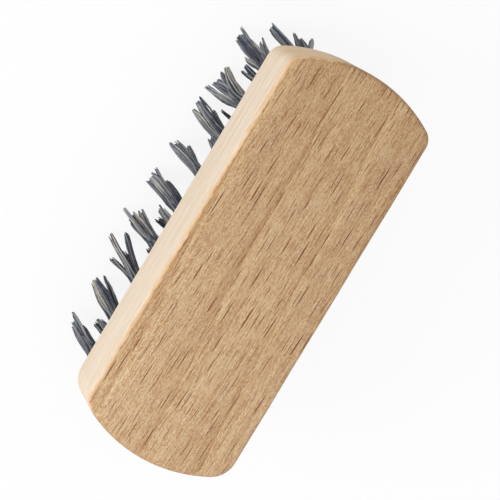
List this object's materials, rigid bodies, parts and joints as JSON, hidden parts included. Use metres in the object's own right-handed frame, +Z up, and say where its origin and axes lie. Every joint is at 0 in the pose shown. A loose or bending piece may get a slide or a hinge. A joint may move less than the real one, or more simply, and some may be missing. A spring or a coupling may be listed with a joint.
{
  "type": "cleaning brush",
  "caption": "Small hand brush: a solid beech block with a flat back and bowed ends, with dark bristle tufts stapled into drilled holes on its underside.",
  "frame": {"origin": "middle of the brush in plan, on the surface that its bristle tips stand on", "axes": "+X along the block, toward the end with the tighter corners; +Z up, out of the flat back; +Y completes the frame, across the block"},
  "size_m": [0.1, 0.0446, 0.045],
  "materials": {
    "beech": "bare sanded beech, pale on the sides, warm tan on the back",
    "bristle": "dark blue-grey bristle with a satin sheen"
  },
  "bodies": {
    "root": {"brush_block": "beech", "tuft_row1_01": "bristle", "tuft_row1_02": "bristle", "tuft_row1_03": "bristle", "tuft_row1_04": "bristle", "tuft_row1_05": "bristle", "tuft_row1_06": "bristle", "tuft_row1_07": "bristle", "tuft_row1_08": "bristle", "tuft_row1_09": "bristle", "tuft_row2_01": "bristle", "tuft_row2_02": "bristle", "tuft_row2_03": "bristle", "tuft_row2_04": "bristle", "tuft_row2_05": "bristle", "tuft_row2_06": "bristle", "tuft_row2_07": "bristle", "tuft_row2_08": "bristle", "tuft_row2_09": "bristle", "tuft_row2_10": "bristle", "tuft_row3_01": "bristle", "tuft_row3_02": "bristle", "tuft_row3_03": "bristle", "tuft_row3_04": "bristle", "tuft_row3_05": "bristle", "tuft_row3_06": "bristle", "tuft_row3_07": "bristle", "tuft_row3_08": "bristle", "tuft_row3_09": "bristle", "tuft_row4_01": "bristle", "tuft_row4_02": "bristle", "tuft_row4_03": "bristle", "tuft_row4_04": "bristle", "tuft_row4_05": "bristle", "tuft_row4_06": "bristle", "tuft_row4_07": "bristle", "tuft_row4_08": "bristle", "tuft_row4_09": "bristle", "tuft_row4_10": "bristle", "tuft_row5_01": "bristle", "tuft_row5_02": "bristle", "tuft_row5_03": "bristle", "tuft_row5_04": "bristle", "tuft_row5_05": "bristle", "tuft_row5_06": "bristle", "tuft_row5_07": "bristle", "tuft_row5_08": "bristle", "tuft_row5_09": "bristle"}
  },
  "joints": []
}
